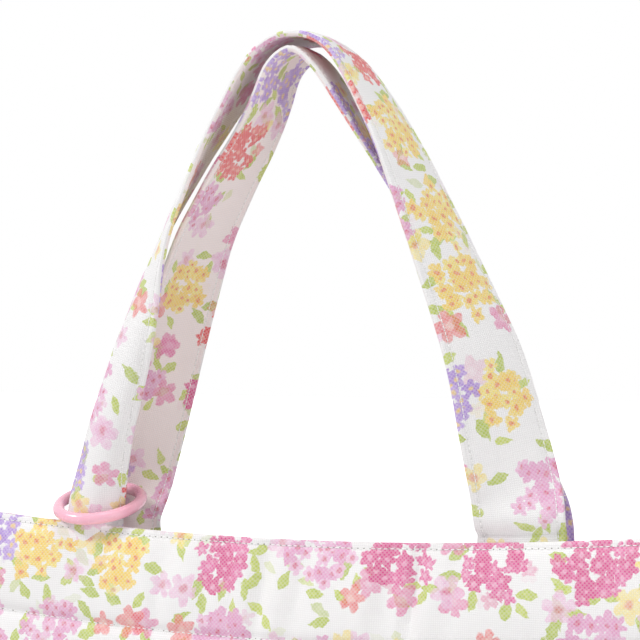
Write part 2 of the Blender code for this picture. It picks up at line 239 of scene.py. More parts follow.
studio = {
    "aim": Vector((3.1 * mm, 0, 301.7 * mm)),
    "yaw": math.radians(20),
    "distance": 600 * mm,
    "focal": 2.8125,  # in widths of the sensor
    "sensor": 36,
    "world": 0.33,
    # name, place, size and power of each lamp
    "lamps": [
        ("key", (-1.25, -0.75, 1.45), 0.5, 19),
        ("fill", (1.2, -0.9, 0.55), 1.0, 6),
        ("top", (0.35, -0.2, 1.6), 1.2, 7.5),
    ],
    "lampAim": Vector((0, 0, 0.25)),
}


# small helpers

def smooth(low, high, value):
    t = min(max((value - low) / (high - low), 0), 1)
    return t * t * (3 - 2 * t)


def bump(value, width):
    return math.exp(-((value / width) ** 2))


def finishMesh(mesh, name):
    bmesh.ops.recalc_face_normals(mesh, faces=mesh.faces)
    data = bpy.data.meshes.new(name)
    mesh.to_mesh(data)
    mesh.free()
    return data


def joinRows(mesh, rows, layer=None, uvs=None):
    # quads between neighbouring closed rows of vertices
    for i in range(len(rows) - 1):
        count = len(rows[i])
        for j in range(count):
            k = (j + 1) % count
            face = mesh.faces.new((rows[i][j], rows[i][k], rows[i + 1][k], rows[i + 1][j]))
            face.smooth = True
            if uvs:
                ends = (uvs[i][j], uvs[i][j + 1], uvs[i + 1][j + 1], uvs[i + 1][j])
                for loop, uv in zip(face.loops, ends):
                    loop[layer].uv = uv


def closedLoft(loops, name, uvs):
    # rows of closed loops, each with the same number of points, capped at both ends
    mesh = bmesh.new()
    rows = [[mesh.verts.new(p) for p in loop] for loop in loops]
    layer = mesh.loops.layers.uv.new("cloth")
    joinRows(mesh, rows, layer, uvs)
    count = len(loops[0])
    for end in (0, -1):
        # each cap is a strip of quads from one side of the loop to the other
        row = rows[end]
        for j in range(count // 2):
            corners = (row[j], row[j + 1], row[(count - j - 1) % count], row[(count - j) % count])
            corners = tuple(dict.fromkeys(corners))
            if len(corners) < 3 or mesh.faces.get(corners):
                continue
            for loop in mesh.faces.new(corners).loops:
                loop[layer].uv = uvs[end][j]
    return finishMesh(mesh, name)


def addObject(name, data):
    made = bpy.data.objects.new(name, data)
    scene.collection.objects.link(made)
    return made


def addPiece(name, data, material):
    piece = addObject(name, data)
    data.materials.clear()
    data.materials.append(material)
    return piece


# shader sums

class Wire:
    # a socket of a material's tree that takes part in sums
    def __init__(self, tree, socket=None):
        self.tree = tree
        self.socket = socket

    def node(self, kind, inputs=None, out=0, stops=None, **settings):
        made = self.tree.nodes.new("ShaderNode" + kind)
        for name, value in settings.items():
            setattr(made, name, value)
        for place, (position, colour) in enumerate(stops or []):
            stop = made.color_ramp.elements
            stop = stop[place] if place < len(stop) else stop.new(position)
            stop.position = position
            stop.color = (*colour, 1)
        for name, value in (inputs or {}).items():
            if isinstance(value, Wire):
                self.tree.links.new(value.socket, made.inputs[name])
            else:
                made.inputs[name].default_value = value
        return Wire(self.tree, made.outputs[out])

    def other(self, out):
        return Wire(self.tree, self.socket.node.outputs[out])

    def math(self, operation, *values):
        return self.node("Math", dict(enumerate((self,) + values)), operation=operation)

    def __add__(self, value):
        return self.math("ADD", value)

    def __sub__(self, value):
        return self.math("SUBTRACT", value)

    def __mul__(self, value):
        return self.math("MULTIPLY", value)

    def __truediv__(self, value):
        return self.math("DIVIDE", value)

    def __rsub__(self, value):
        return self.node("Math", {0: value, 1: self}, operation="SUBTRACT")

    __rmul__ = __mul__

    def step(self, low, high):
        return self.node("MapRange", {"Value": self, 1: low, 2: high}, interpolation_type="SMOOTHSTEP")

    def vector(self, operation, *values, out=0):
        return self.node("VectorMath", dict(enumerate((self,) + values)), out=out, operation=operation)

    def parts(self):
        first = self.node("SeparateXYZ", {0: self})
        return first, first.other(1), first.other(2)

    def mix(self, share, colour):
        inputs = {0: share, 6: self, 7: colour if isinstance(colour, Wire) else (*colour, 1)}
        return self.node("Mix", inputs, out=2, data_type="RGBA")

    def colour(self, value):
        made = self.node("RGB")
        made.socket.default_value = (*value, 1)
        return made

    def cloud(self, scale, detail, out=0):
        return self.node("TexNoise", {"Vector": self, "Scale": scale, "Detail": detail}, out=out)

    def relief(self, strength, distance):
        return self.node("Bump", {"Strength": strength, "Distance": distance, "Height": self})


def newMaterial(name):
    material = bpy.data.materials.new(name)
    material.use_nodes = True
    tree = material.node_tree
    shader = tree.nodes["Principled BSDF"]
    return material, Wire(tree), shader


def plug(shader, **links):
    for name, value in links.items():
        socket = shader.inputs[name.replace("_", " ")]
        if isinstance(value, Wire):
            value.tree.links.new(value.socket, socket)
        else:
            socket.default_value = value


# print cloth

def scatter(point, pitch, randomness, offset):
    # the nearest of a loose grid of places: vector to it, its own random colour, its place
    moved = point.vector("ADD", (offset, offset * 0.7, 0))
    inputs = {"Vector": moved, "Scale": 1 / pitch, "Randomness": randomness}
    cell = moved.node("TexVoronoi", inputs, out="Position", voronoi_dimensions="2D")
    away = moved.vector("SUBTRACT", cell)
    return away, cell.other("Color"), cell.vector("SUBTRACT", (offset, offset * 0.7, 0))


def flowerMask(away, random, petalCount, radius, soft):
    x, y, _ = away.parts()
    turn = y.math("ARCTAN2", x) * petalCount + random * 12.0
    lobe = turn.math("COSINE") * 0.5 + 0.5
    reach = radius * (lobe.math("POWER", 0.55) * 0.46 + 0.54)
    length = away.vector("LENGTH", out="Value")
    return 1 - (length - reach).step(-soft, soft), length


def bunches(point):
    away, random, _ = scatter(point, printCloth["bunchPitch"], 0.5, 311.0)
    kind, size, _ = random.parts()
    length = away.vector("LENGTH", out="Value")
    return kind, printCloth["bunchRadius"] * (size * 0.45 + 0.82), length


def steppedRamp(kind, column):
    stops = [(row[0], row[column]) for row in printCloth["flowers"]]
    ramp = kind.node("ValToRGB", {0: kind}, stops=stops)
    ramp.socket.node.color_ramp.interpolation = "CONSTANT"
    return ramp


def paintFlower(colour, kind, shape, tone, middle, strength):
    # a petal has a light and a dark wash, and its eye is a dab of another colour
    petal = steppedRamp(kind, 2).mix(tone, steppedRamp(kind, 1))
    eye = 1 - middle.step(0.14, 0.36)
    petal = petal.mix(eye * 0.85, steppedRamp(kind, 3))
    return colour.mix(shape * strength, petal)


def flowerLayer(point, colour, petalCount, offset, fullness, wash):
    radius = printCloth["flowerRadius"]
    away, random, place = scatter(point, printCloth["flowerPitch"], 0.6, offset)
    r, g, b = random.parts()
    kind, limit, length = bunches(place)
    inside = 1 - (length + r * 4.0 - limit).step(-0.2, 0.2)
    kept = 1 - (g - fullness).step(-0.01, 0.01)
    shape, distance = flowerMask(away, r, petalCount, (b * 0.4 + 0.75) * radius, 0.28)
    tone = (b * 0.8 + wash * 0.5).step(0.25, 0.95)
    strength = (wash * 0.5 + 0.70).math("MINIMUM", 1.0)
    return paintFlower(colour, kind, shape * inside * kept, tone, distance / radius, strength)


def bloomLayer(point, colour, offset, wash):
    # single larger flowers between the bunches, in pale pink, magenta or yellow
    radius = printCloth["bloomRadius"]
    away, random, place = scatter(point, printCloth["bloomPitch"], 0.7, offset)
    r, g, b = random.parts()
    _, limit, length = bunches(place)
    outside = (length - limit - 1.0).step(-0.2, 0.2) * (1 - (g - 0.62).step(-0.01, 0.01))
    shape, distance = flowerMask(away, r, 5.0, (b * 0.4 + 0.7) * radius, 0.35)
    kind = r * 0.62 + 0.2 * b
    strength = (wash * 0.6 + 0.5).math("MINIMUM", 1.0) * 0.92
    tone = (wash - 0.2).step(0.2, 0.7)
    return paintFlower(colour, kind, shape * outside, tone, distance / radius, strength)


def leafLayer(point, colour, offset, wash):
    away, random, place = scatter(point, printCloth["leafPitch"], 0.6, offset)
    r, g, b = random.parts()
    _, limit, length = bunches(place)
    near = (length - limit + 3.0).step(-0.5, 0.5) * (1 - (length - limit - 4.5).step(-0.5, 0.5))
    near = near * (g - 0.42).step(-0.02, 0.02)
    turned = away.node("VectorRotate", {"Vector": away, "Angle": r * 6.283}, rotation_type="Z_AXIS")
    x, y, _ = turned.parts()
    along = x / (b * 1.2 + 2.9)
    width = (1 - along * along) * (b * 0.5 + 1.25)
    shape = 1 - (y.math("ABSOLUTE") - width * (1 - along * 0.35)).step(-0.15, 0.15)
    leaf = colour.mix(1.0, printCloth["leaf"]).mix((wash + b * 0.5).step(0.4, 1.1), printCloth["leafDark"])
    return colour.mix(shape * near * (wash * 0.4 + 0.74).math("MINIMUM", 1.0), leaf)


def weave(point, pitch):
    # plain weave: how high the thread stands, and where the thread along X lies on top
    wobble = point.cloud(0.35, 2.0) * 0.5
    x, y, _ = point.parts()
    across = ((x / pitch + wobble) * math.pi).math("SINE")
    along = ((y / pitch + wobble) * math.pi).math("SINE")
    over = across * along
    return over.math("ABSOLUTE").math("POWER", 0.7), over.step(-0.3, 0.3)


def makePrintCloth(name, offset, outerFace=None):
    material, wire, shader = newMaterial(name)
    uv = wire.node("UVMap", uv_map="cloth")
    point = uv.vector("MULTIPLY", (1000.0, 1000.0, 0.0)).vector("ADD", offset)
    # shapes waver a little, as they do when they are drawn by hand
    waver = point.cloud(0.4, 3.0, out=1).vector("SUBTRACT", (0.5, 0.5, 0.5))
    drawn = point.vector("ADD", waver.vector("MULTIPLY", (2.6, 2.6, 0)))
    wash = point.cloud(0.5, 3.0)
    ground = wire.colour(printCloth["ground"])
    mottle = point.cloud(0.06, 3.0)
    colour = ground.mix(mottle.step(0.3, 0.7), tuple(c * 0.985 for c in printCloth["ground"]))
    if outerFace:
        # painted light: the strap's inner face gets a warmer, pinker ground, which stands in for light
        # bounced off the print
        across = uv.vector("MULTIPLY", (1000.0, 0.0, 0.0)).parts()[0]
        under = (across - outerFace).step(0.2, 1.2)
        colour = colour.mix(under, printCloth["paintedBounceTint"])
    for place in printCloth["leafLayers"]:
        colour = leafLayer(drawn, colour, place, wash)
    for place in printCloth["bloomLayers"]:
        colour = bloomLayer(drawn, colour, place, wash)
    for place, petalCount, fullness in printCloth["flowerLayers"]:
        colour = flowerLayer(drawn, colour, petalCount, place, fullness, wash)
    thread, warp = weave(point, printCloth["threadPitch"])
    # the print is weaker on the threads that run across, and the gaps between the threads are painted darker
    # as shade
    colour = colour.mix((1 - warp) * 0.24, printCloth["ground"])
    colour = colour.mix((1 - thread) * 0.30, printCloth["gap"])
    height = thread * 0.8 + point.cloud(3.0, 2.0) * 0.35
    normal = height.relief(0.7, 0.00016)
    plug(shader, Base_Color=colour, Normal=normal, Roughness=thread * -0.08 + 0.86)
    plug(shader, Specular_IOR_Level=0.25, Sheen_Weight=0.12)
    return material


def makePlainCloth(name, colour, pitch):
    material, wire, shader = newMaterial(name)
    uv = wire.node("UVMap", uv_map="cloth")
    point = uv.vector("MULTIPLY", (1000.0, 1000.0, 0.0))
    thread, _ = weave(point, pitch)
    mottle = point.cloud(0.08, 4.0)
    tint = wire.colour(colour).mix(mottle, tuple(c * 0.93 for c in colour))
    # painted shade: the gaps between the threads are darker
    tint = tint.mix((1 - thread) * 0.2, tuple(c * 0.7 for c in colour))
    normal = thread.relief(0.4, 0.0001)
    plug(shader, Base_Color=tint, Normal=normal, Roughness=thread * -0.08 + 0.9)
    plug(shader, Sheen_Weight=0.1)
    return material


def makeRingPlastic():
    material, wire, shader = newMaterial("ringPlastic")
    place = wire.node("TexCoord", out="Object")
    cloudy = place.cloud(220.0, 3.0).step(0.35, 0.7) * 0.5
    colour = wire.colour(ring["colour"]).mix(cloudy, ring["cloudColour"])
    scuff = place.cloud(900.0, 4.0)
    normal = scuff.relief(0.08, 0.0001)
    plug(shader, Base_Color=colour, Roughness=scuff.step(0.4, 0.75) * 0.12 + 0.2, Normal=normal)
    plug(shader, Subsurface_Weight=0.15, Subsurface_Radius=(0.004, 0.002, 0.002), Coat_Weight=0.3)
    return material


def makeThread():
    material, wire, shader = newMaterial("sewingThread")
    place = wire.node("TexCoord", out="Object")
    fibre = place.cloud(3000.0, 2.0)
    normal = fibre.relief(0.3, 0.00005)
    # painted shadow: the needle-hole beads of the stitch mesh take the dark hole colour
    holeShadow = wire.node("Attribute", out="Fac", attribute_name="holeShadow")
    colour = wire.colour(stitch["colour"]).mix(fibre, stitch["fibreColour"]).mix(holeShadow, stitch["holeShadowColour"])
    plug(shader, Base_Color=colour, Roughness=fibre * 0.2 + 0.5, Normal=normal)
    return material


bagPrint = makePrintCloth("printCloth", (0.0, 0.0, 0.0))
outerFace = strap["width"] / mm
frontStrapPrint = makePrintCloth("frontStrapCloth", (420.0, 95.0, 0.0), outerFace=outerFace)
backStrapPrint = makePrintCloth("backStrapCloth", (730.0, 515.0, 0.0), outerFace=outerFace)
liningCloth = makePlainCloth("liningCloth", lining["colour"], lining["threadPitch"])
ringPlastic = makeRingPlastic()
threadLook = makeThread()
print("materials ready")


# shape of the bag

def rimHeight(x, side="front"):
    high = bag["height"] + bag["rimRise"] * (x / (bag["rimWidth"] / 2)) ** 2
    if side == "back":
        high -= bag["backDrop"] * smooth(1, 0.88, abs(x) / (bag["rimWidth"] / 2))
    return high


def halfWidth(share):
    return (bag["baseWidth"] + (bag["rimWidth"] - bag["baseWidth"]) * share) / 2


def halfDepth(share):
    return (bag["baseDepth"] - (bag["baseDepth"] - bag["mouthDepth"]) * share ** bag["taper"]) / 2


def cornerRadius(share):
    return bag["baseCorner"] + (bag["rimCorner"] - bag["baseCorner"]) * share


def bow(place, run, share, size):
    return size * max(1 - (place / run) ** 2, 0) * math.sin(math.pi * share)


def planPoint(side, along, share, inset):
    # a point of the plan at a share of the height, as the solid has it
    turned = side in ("right", "left")
    a = halfWidth(share) - inset
    b = halfDepth(share) - inset
    r = cornerRadius(share) - inset
    run = (b if turned else a) - r
    out = a if turned else b
    size = abs(along)
    straight = 1 - bag["cornerShare"]
    if size <= straight:
        u, v = run * size / straight, out
    else:
        angle = math.pi / 4 * (size - straight) / bag["cornerShare"]
        u = run + r * math.sin(angle)
        v = out - r * (1 - math.cos(angle))
    u = math.copysign(u, along)
    if turned:
        v -= bow(u, run, share, bag["sideDent"])
        x, y = v, u
    else:
        v += bow(u, run, share, bag["belly"])
        x, y = u, -v
    if side in ("back", "left"):
        x, y = -x, -y
    return x, y


def rimAt(side, along):
    return rimHeight(planPoint(side, along, 1, 0)[0], side)


sewnShare = 0.85  # share of the height at which the cloth is measured round the bag
sideOrder = ("front", "right", "back", "left")


def wallLength(side, share=sewnShare):
    # half the straight run of a wall, and half of one corner
    turned = side in ("right", "left")
    run = (halfDepth(share) if turned else halfWidth(share)) - cornerRadius(share)
    return run, cornerRadius(share) * math.pi / 4


def roundNoise(s, z, pitch, seed):
    # noise that meets itself round the bag
    turn = 2 * math.pi * s / roundLength
    radius = roundLength / (2 * math.pi)
    x = radius * math.cos(turn) / pitch
    y = radius * math.sin(turn) / pitch + seed
    return noise.noise(Vector((x, y, z / pitch)))


roundLength = 2 * sum(sum(wallLength(side)) for side in sideOrder)
# the middle of each wall, as a length round the bag from the middle of the front
sewnStarts = {"front": 0}
for before, after in zip(sideOrder, sideOrder[1:]):
    sewnStarts[after] = sewnStarts[before] + (sum(wallLength(before)) + sum(wallLength(after)))


def sewnAt(side, along, share=sewnShare):
    run, arc = wallLength(side, share)
    size = abs(along)
    straight = 1 - bag["cornerShare"]
    if size <= straight:
        reach = run * size / straight
    else:
        reach = run + arc * (size - straight) / bag["cornerShare"]
    return sewnStarts[side] + math.copysign(reach, along)


def relief(side, along, s, z, rim):
    # how far the padded cloth stands out: hem, stitch rows, puckers and sag
    drop = rim - z
    hem = bag["hemDepth"]
    under = drop - hem
    out = 0.0
    if drop < hem:
        t = max(drop, 0) / hem
        arch = math.sin(math.pi * t)
        between = arch ** 0.6
        out += padding["hemPuff"] * arch ** 0.7
        out += padding["hemWave"] * roundNoise(s, 0, 17 * mm, 3) * arch
        out += padding["hemRipple"] * roundNoise(s, 0.3 * z, 7 * mm, 9) * arch ** 0.5
        # soft upright creases, some deep and some hardly there
        crease = bump(roundNoise(s, 0.12 * z, 21 * mm, 13), 0.075)
        depth = smooth(-0.15, 0.35, roundNoise(s, 0, 34 * mm, 15))
        out -= padding["crease"] * crease * depth * between
        if side == "front":
            for place, width, deep in padding["folds"]:
                out -= deep * mm * bump(s - place * mm + 0.08 * drop, width * mm) * between
    else:
        wave = padding["underWave"] * roundNoise(s, 0.25 * z, 16 * mm, 5)
        out += padding["underHem"] * math.sqrt(smooth(0, 26 * mm, under))
        out += wave * bump(under, 30 * mm) * smooth(0, 6 * mm, under)
    # the second row draws the cloth in, and so does the one under the edge
    out -= padding["rowPinch"] * bump(under, 1.7 * mm)
    out -= padding["edgePinch"] * bump(drop - bag["edgeRow"], 1.1 * mm)
    gather = bump(under, 9 * mm) + 0.3 * bump(drop - bag["edgeRow"], 5 * mm)
    out += padding["pucker"] * gather * roundNoise(s, 0, 4.5 * mm, 1)
    out += padding["finePucker"] * gather * roundNoise(s, 0, 2.2 * mm, 7)
    # the body sags a little between its seams, and is fuller at the bottom
    body = smooth(0, 60 * mm, under) * smooth(0, 30 * mm, z)
    sag = padding["bodySag"] * roundNoise(s, 0.7 * z, 70 * mm, 2)
    ripple = padding["bodyRipple"] * roundNoise(s, 0.6 * z, 28 * mm, 4)
    out += body * (sag + ripple)
    out += padding["bottomPuff"] * smooth(75 * mm, 20 * mm, z) * smooth(0, 10 * mm, z)
    # seams pinch
    edge = (1 - abs(along)) * sum(wallLength(side))
    return out - padding["seamPinch"] * bump(edge, 2.4 * mm)


def levelHeight(rim, drop, bottom):
    # the rows under the hem run level by the time that they reach the floor
    below = bag["hemDepth"] + bag["hemMargin"]
    if drop <= below:
        return rim - drop
    share = (drop - below) / (bag["height"] - bottom - below)
    return rim - below + (bottom - rim + below) * share


def wallPoint(side, along, drop, lift=0.0):
    # a point on the outer cloth, drop below the rim, lift out from the cloth
    rim = rimAt(side, along)
    z = levelHeight(rim, drop, bag["bottom"])
    share = min(max(z / rim, 0), 1)
    out = relief(side, along, sewnAt(side, along), z, rim)
    x, y = planPoint(side, along, share, -out - lift)
    return Vector((x, y, z))


def panelDrops():
    # rows of a wall from just above the floor to the rim: close at the hem, wide below
    hem = bag["hemDepth"]
    lowest = bag["height"] - bag["bottom"]
    drops = [lowest] + [lowest - step * mm for step in (1.5, 4, 7)]
    below = drops[-1]
    count = 46
    for i in range(1, count):
        t = i / count
        drops.append(below + (hem + bag["hemMargin"] - below) * (1 - (1 - t) ** 1.5))
    drops += [hem + d * mm for d in (4, 3, 2.2, 1.5, 0.9, 0.3, -0.3, -0.9, -1.6, -2.4, -3.4)]
    count = 18
    for i in range(1, count + 1):
        drops.append(hem - 3.4 * mm + (4.2 * mm - hem + 3.4 * mm) * i / count)
    drops += [d * mm for d in (3.4, 2.8, 2.3, 1.9, 1.4, 1.0)]
    return drops


def alongPlaces(side, pitch):
    run, arc = wallLength(side)
    straight = 1 - bag["cornerShare"]
    count = max(2, round(2 * run / pitch))
    corner = max(3, round(arc / pitch))
    middle = [straight * (2 * i / count - 1) for i in range(count + 1)]
    ends = [straight + bag["cornerShare"] * (i + 1) / corner for i in range(corner)]
    return [-e for e in reversed(ends)] + middle + ends


def makeWall(side, name, node, shift):
    thickness = bag["thickness"]
    drops = panelDrops()
    loops, uvs = [], []
    for along in alongPlaces(side, 1.3 * mm if side == "front" else 1.8 * mm):
        rim = rimAt(side, along)
        outer = [wallPoint(side, along, drop) for drop in drops]
        inner = [wallPoint(side, along, drop, -thickness) for drop in drops]
        # the folded edge is round
        fold = []
        for angle in (25, 60, 90, 120, 155):
            turn = math.radians(angle)
            lift = -thickness / 2 * (1 - math.cos(turn))
            fold.append(wallPoint(side, along, drops[-1] - 1.0 * mm * math.sin(turn), lift))
        loop = outer + fold + inner[::-1]
        loops.append(loop)
        heights = [levelHeight(rim, drop, bag["bottom"]) for drop in drops]
        v = heights + [rim + d * mm for d in (-0.7, 0, 0.5, 1.0, 1.6)]
        v += [2 * rim - z + 2 * mm for z in reversed(heights)]
        v.append(v[-1] + 1 * mm)
        # each row is as wide as the cloth is there, so that the print isn't drawn out
        u = [sewnAt(side, along, min(max(p.z / rim, 0), 1)) for p in loop]
        u.append(u[0])
        uvs.append([(a, b + shift) for a, b in zip(u, v)])
    wall = addPiece(name, closedLoft(loops, side + "Cloth", uvs), bagPrint)
    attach(wall, "bag")
    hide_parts(node, side + "_wadding")


# the last number shifts the print up, as each wall is cut from another place of the cloth
makeWall("front", "frontCloth", "front_panel", 0)
makeWall("right", "rightSideCloth", "right_side_panel", 0.31)
makeWall("back", "backCloth", "back_panel", 0.07)
makeWall("left", "leftSideCloth", "left_side_panel", 0.17)
print("outer cloth sewn")


# lining, base and pocket

def roundPlaces():
    # every place round the bag once, from the front's left corner
    places = []
    for side in sideOrder:
        places += [(side, along) for along in alongPlaces(side, lining["pitch"])[:-1]]
    return places


def liningInset(side, along, drop):
    # the lining's edge is sewn close to the outer cloth, but opens round each strap end
    closed = bag["thickness"] + 0.15 * mm
    opened = 0
    if side in ("front", "back"):
        x, _ = planPoint(side, along, 1, 0)
        gap = abs(abs(x) - strap["footSpread"] / 2) - strap["width"] / 2
        opened = smooth(9 * mm, 0.5 * mm, gap)
    top = closed + (lining["inset"] - 0.4 * mm - closed) * opened
    return top + (lining["inset"] - top) * smooth(1 * mm, 22 * mm, drop)


def liningPoint(side, along, drop, depth=0.0):
    rim = rimAt(side, along)
    z = levelHeight(rim, drop, lining["bottom"])
    share = min(max(z / rim, 0), 1)
    s = sewnAt(side, along)
    ripple = lining["ripple"] * roundNoise(s, z, 24 * mm, 11) * smooth(0, 30 * mm, drop)
    fine = lining["fineRipple"] * roundNoise(s, z, 7 * mm, 12) * smooth(0, 8 * mm, drop)
    ripple += fine * bump(drop - 12 * mm, 20 * mm)
    x, y = planPoint(side, along, share, liningInset(side, along, drop) + depth + abs(ripple))
    return Vector((x, y, z))


def makeLining():
    places = roundPlaces()
    drops = [d * mm for d in (1.0, 1.6, 2.4, 3.4, 5, 8, 12, 17, 23)]
    near = drops[-1]
    low = bag["height"] - lining["bottom"]
    drops += [near + (low - near) * (i + 1) / 34 for i in range(34)]
    # up the hidden face from the bottom, round the folded edge, and down the face that is seen
    levels = [(drop, 0.0) for drop in reversed(drops)]
    for angle in (30, 70, 110, 150):
        turn = math.radians(angle)
        depth = lining["thickness"] / 2 * (1 - math.cos(turn))
        levels.append((drops[0] - 0.7 * mm * math.sin(turn), depth))
    levels += [(drop, lining["thickness"]) for drop in drops]
    mesh = bmesh.new()
    layer = mesh.loops.layers.uv.new("cloth")
    rows = []
    for drop, depth in levels:
        rows.append([mesh.verts.new(liningPoint(side, along, drop, depth)) for side, along in places])
    u = [sewnAt(side, along) for side, along in places] + [roundLength - sum(wallLength("front"))]
    v = [-d for d in reversed(drops)] + [d * mm for d in (0, 0.5, 1.0, 1.5)]
    v += [2 * mm + d for d in drops]
    v.append(v[-1] + 1 * mm)
    joinRows(mesh, rows + rows[:1], layer, [[(a, b) for a in u] for b in v])
    cloth = addPiece("lining", finishMesh(mesh, "lining"), liningCloth)
    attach(cloth, "bag")
    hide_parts("front_lining", "back_lining", "left_lining", "right_lining")
    bag["height"] - lining["bottom"]


def slab(name, sizes, material, nodes):
    # a flat layer of the base with a rounded edge
    bottom = sizes["bottom"]
    top = bottom + sizes["thickness"]
    mesh = bmesh.new()
    layer = mesh.loops.layers.uv.new("cloth")
    places = roundPlaces()
    rings = []
    for across, up in ((0.0, 0.0), (0.3, 0.07), (0.7, 0.3), (1.0, 0.75), (1.0, 1.0)):
        inset = sizes["inset"] + sizes["rounding"] * (1 - across)
        edge = []
        for side, along in places:
            x, y = planPoint(side, along, bottom / bag["height"], inset)
            edge.append(mesh.verts.new((x, y, bottom + sizes["thickness"] * up)))
        rings.append(edge)
    joinRows(mesh, rings)
    # inner rings close the underside and the top, which sags
    for outer, z, sag in ((rings[0], bottom, 0), (rings[-1], top, sizes["sag"])):
        rows = [outer]
        for scale in (0.93, 0.8, 0.62, 0.42, 0.22):
            inner = []
            for vert in outer:
                x, y = vert.co.x * scale, vert.co.y * scale
                dip = sag * (noise.noise(Vector((x, y, 4)) / (30 * mm)) * 0.5 - 0.3)
                inner.append(mesh.verts.new((x, y, z + dip)))
            rows.append(inner)
        joinRows(mesh, rows)
        mesh.faces.new(rows[-1])
    for face in mesh.faces:
        for loop in face.loops:
            loop[layer].uv = (loop.vert.co.x, loop.vert.co.y)
    piece = addPiece(name, finishMesh(mesh, name), material)
    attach(piece, "bag")
    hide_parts(*nodes)
    return piece


def pocketDepth(x, z):
    # y of the pocket's cloth, which hangs more open towards its top
    width = pocket["width"]
    share = z / rimHeight(x, "back")
    run = halfWidth(share) - cornerRadius(share)
    y = halfDepth(share) + bow(x, run, share, bag["belly"]) - lining["inset"] - pocket["gap"]
    if abs(x) < width / 2 - 1e-6:
        edge = min(width / 2 - abs(x), z - pocket["low"])
        opened = smooth(0, 22 * mm, edge) * smooth(pocket["low"], pocket["high"], z)
        y -= pocket["slack"] * opened * math.cos(math.pi * x / width) ** 0.5
    return y + 0.4 * mm * noise.noise(Vector((x, z, 8)) / (9 * mm))


def patchPocket():
    # an open pocket on the back lining
    width, low, high = pocket["width"], pocket["low"], pocket["high"]
    columns, rows = 66, 44
    heights = [low + (high - low) * j / rows for j in range(rows + 1)]
    loops, uvs = [], []
    for i in range(columns + 1):
        x = -width / 2 + width * i / columns
        front, back = [], []
        for z in heights:
            y = pocketDepth(x, z)
            front.append(Vector((x, y - pocket["hemStep"] * (z > high - pocket["hem"]), z)))
            back.append(Vector((x, y + pocket["thickness"], z)))
        top = Vector((x, (front[-1].y + back[-1].y) / 2, high + 0.5 * mm))
        foot = Vector((x, (front[0].y + back[0].y) / 2, low - 0.4 * mm))
        loops.append(front + [top] + back[::-1] + [foot])
        v = heights + [high + 0.5 * mm] + [2 * high - z + 1 * mm for z in reversed(heights)]
        v += [2 * high - low + 2 * mm, 2 * high - low + 3 * mm]
        uvs.append([(x, a) for a in v])
    patch = addPiece("pocket", closedLoft(loops, "pocket", uvs), liningCloth)
    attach(patch, "bag")
    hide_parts("inner_pocket")


makeLining()
base = slab("baseCloth", baseSizes, bagPrint, ["base_panel", "base_wadding"])
floor = slab("liningFloor", floorSizes, liningCloth, ["base_lining"])
2 * halfWidth(0) - 9 * mm
2 * halfDepth(0) - 9 * mm
patchPocket()
print("lining and base ready")


# handles

footZ = rimHeight(strap["footSpread"] / 2 + strap["width"] / 2) + strap["footGap"]


def curvePoint(a, b, c, d, t):
    square = 2 * a - 5 * b + 4 * c - d
    cube = 3 * b - a - 3 * c + d
    return b + ((c - a) * t + square * t**2 + cube * t**3) / 2


def evenPoints(points, count):
    padded = [2 * points[0] - points[1], *points, 2 * points[-1] - points[-2]]
    fine = []
    for a, b, c, d in zip(padded, padded[1:], padded[2:], padded[3:]):
        fine += [curvePoint(a, b, c, d, i / 24) for i in range(24)]
    fine.append(points[-1])
    travelled = [0.0]
    for a, b in zip(fine, fine[1:]):
        travelled.append(travelled[-1] + (b - a).length)
    spaced, at = [], 0
    for i in range(count):
        goal = travelled[-1] * i / (count - 1)
        while at < len(fine) - 2 and travelled[at + 1] < goal:
            at += 1
        share = (goal - travelled[at]) / (travelled[at + 1] - travelled[at])
        spaced.append(fine[at].lerp(fine[at + 1], share))
    return spaced, travelled[-1]


def strapLine(route, facing):
    height = strap["height"] - (strap["nest"] if facing > 0 else 0)
    top = max(z for _, _, z in route)
    shift = strap["footSpread"] / 2 - routeFoot * mm
    points = []
    for x, y, z in route:
        px = x * mm + math.copysign(shift, x) * (1 - z / top)
        points.append(Vector((px, y * mm, footZ + height * z / top)))
    # the sewn-in ends go down inside the rim
    tail = Vector((0, 0, strap["tail"]))
    lean = Vector((0, facing * strap["tailLean"], 0))
    starts = [points[0] - tail + lean, points[0] - tail * 0.5 + lean * 0.5]
    ends = [points[-1] - tail * 0.5 + lean * 0.5, points[-1] - tail + lean]
    return starts + points + ends


def strapSection(point, before, after, facing, top):
    # normal of the strap's outer face and the way across it, to +X at the foot
    share = min(max((point.z - footZ) / (top - footZ), 0), 1)
    tangent = (after - before).normalized()
    up = tangent.cross(Vector((0, 1, 0)))
    if up.z < 0:
        up.negate()
    up.normalize()
    late = strap["twist"] if facing < 0 else strap["backTwist"]
    turn = math.pi / 2 * share**late * smooth(-0.02, 0.12, share)
    normal = math.cos(turn) * Vector((0, facing, 0)) + math.sin(turn) * up
    normal = (normal - tangent * normal.dot(tangent)).normalized()
    return share, normal, tangent.cross(normal)


def strapCurl(x, share, facing):
    flat = strap["flatCurl"]
    if facing < 0 and x < 0:
        # the ring gathers its leg, which opens out again above it
        gathered = strap["width"] / strap["gatherRadius"]
        reach = strap["gatherReach"] / strap["height"]
        return gathered + (flat - gathered) * smooth(reach, reach + 0.35, share)
    return flat + (strap["legCurl"] - flat) * math.sin(math.pi * share) ** 2


def halfThickness(across):
    # across runs from -1 to 1: folded edges are round, and the stitch rows press the cloth down
    inset = (1 - abs(across)) * strap["width"] / 2
    edge = math.sqrt(max(1 - (1 - min(inset / (1.0 * mm), 1)) ** 2, 0))
    press = 1 - strap["press"] * bump(inset - strap["stitchInset"], 0.9 * mm)
    puff = 1 + strap["puff"] * smooth(3 * mm, 8 * mm, inset)
    return strap["thickness"] / 2 * edge * press * puff


